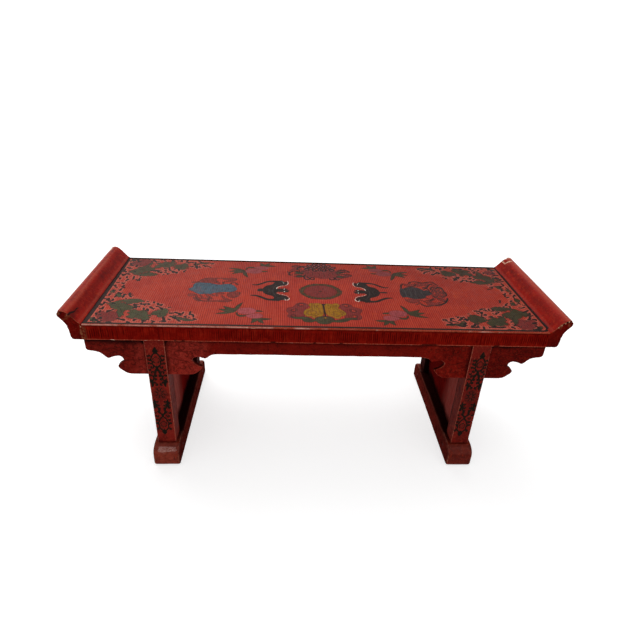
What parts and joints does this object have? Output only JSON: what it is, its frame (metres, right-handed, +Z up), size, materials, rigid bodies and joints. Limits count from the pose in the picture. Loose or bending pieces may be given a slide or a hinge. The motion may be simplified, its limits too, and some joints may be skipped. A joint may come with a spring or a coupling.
{
  "type": "display stand",
  "caption": "Tabletop display stand in altar-table form: flat painted top with upswept end flanges, aprons with cloud spandrels, and panelled trestle ends on straight runners.",
  "frame": {"origin": "on the floor, under the middle of the stand's overall box", "axes": "+X along the length, to the right as seen from the front; +Y from front to back; +Z up"},
  "size_m": [0.555, 0.2, 0.21],
  "materials": {
    "lacquer_top": "glossy orange-red lacquer, combed and painted, worn arrises",
    "lacquer_carcass": "deep red lacquer, mottled, semi-gloss, worn arrises",
    "lacquer_inside": "dark red-brown lacquer, dull, dusty",
    "bamboo_peg": "plain split bamboo, dull"
  },
  "bodies": {
    "root": {"top_board": "lacquer_top", "left_end_cap": "lacquer_top", "right_end_cap": "lacquer_top", "front_apron": "lacquer_carcass", "rear_apron": "lacquer_carcass", "left_end_apron": "lacquer_carcass", "right_end_apron": "lacquer_carcass", "left_front_leg": "lacquer_carcass", "left_rear_leg": "lacquer_carcass", "right_front_leg": "lacquer_carcass", "right_rear_leg": "lacquer_carcass", "left_upper_rail": "lacquer_inside", "right_upper_rail": "lacquer_inside", "left_end_panel": "lacquer_inside", "right_end_panel": "lacquer_inside", "left_runner": "lacquer_carcass", "right_runner": "lacquer_carcass", "apron_pins": "bamboo_peg", "runner_pegs": "bamboo_peg", "cap_pegs": "bamboo_peg"}
  },
  "joints": []
}
